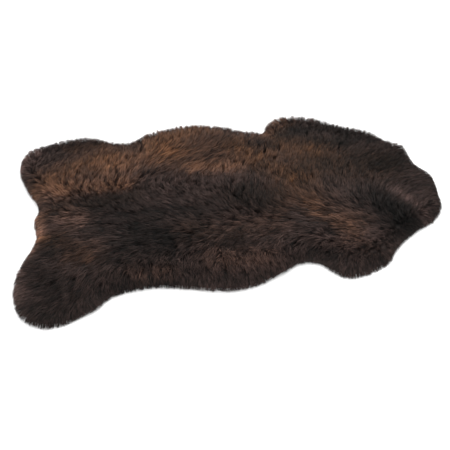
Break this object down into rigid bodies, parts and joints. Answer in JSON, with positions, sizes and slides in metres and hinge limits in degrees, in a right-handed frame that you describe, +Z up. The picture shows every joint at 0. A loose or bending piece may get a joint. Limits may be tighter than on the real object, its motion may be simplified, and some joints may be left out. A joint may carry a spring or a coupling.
{
  "type": "sheepskin",
  "caption": "Whole long-wool sheepskin, dark brown, lying flat with its wool up and its tanned hide as the underside.",
  "frame": {"origin": "on the surface that the skin lies on, under the middle of its bounding box", "axes": "+X along the spine from the hind legs to the neck, +Y across the skin to its left flank, +Z up through the wool"},
  "size_m": [1.1168, 0.6914, 0.0543],
  "materials": {
    "wool": "matt long wool in wavy locks, dark brown with warmer tips",
    "hide": "napped suede underside, tan"
  },
  "bodies": {
    "root": {"sheepskin": "wool"}
  },
  "joints": []
}
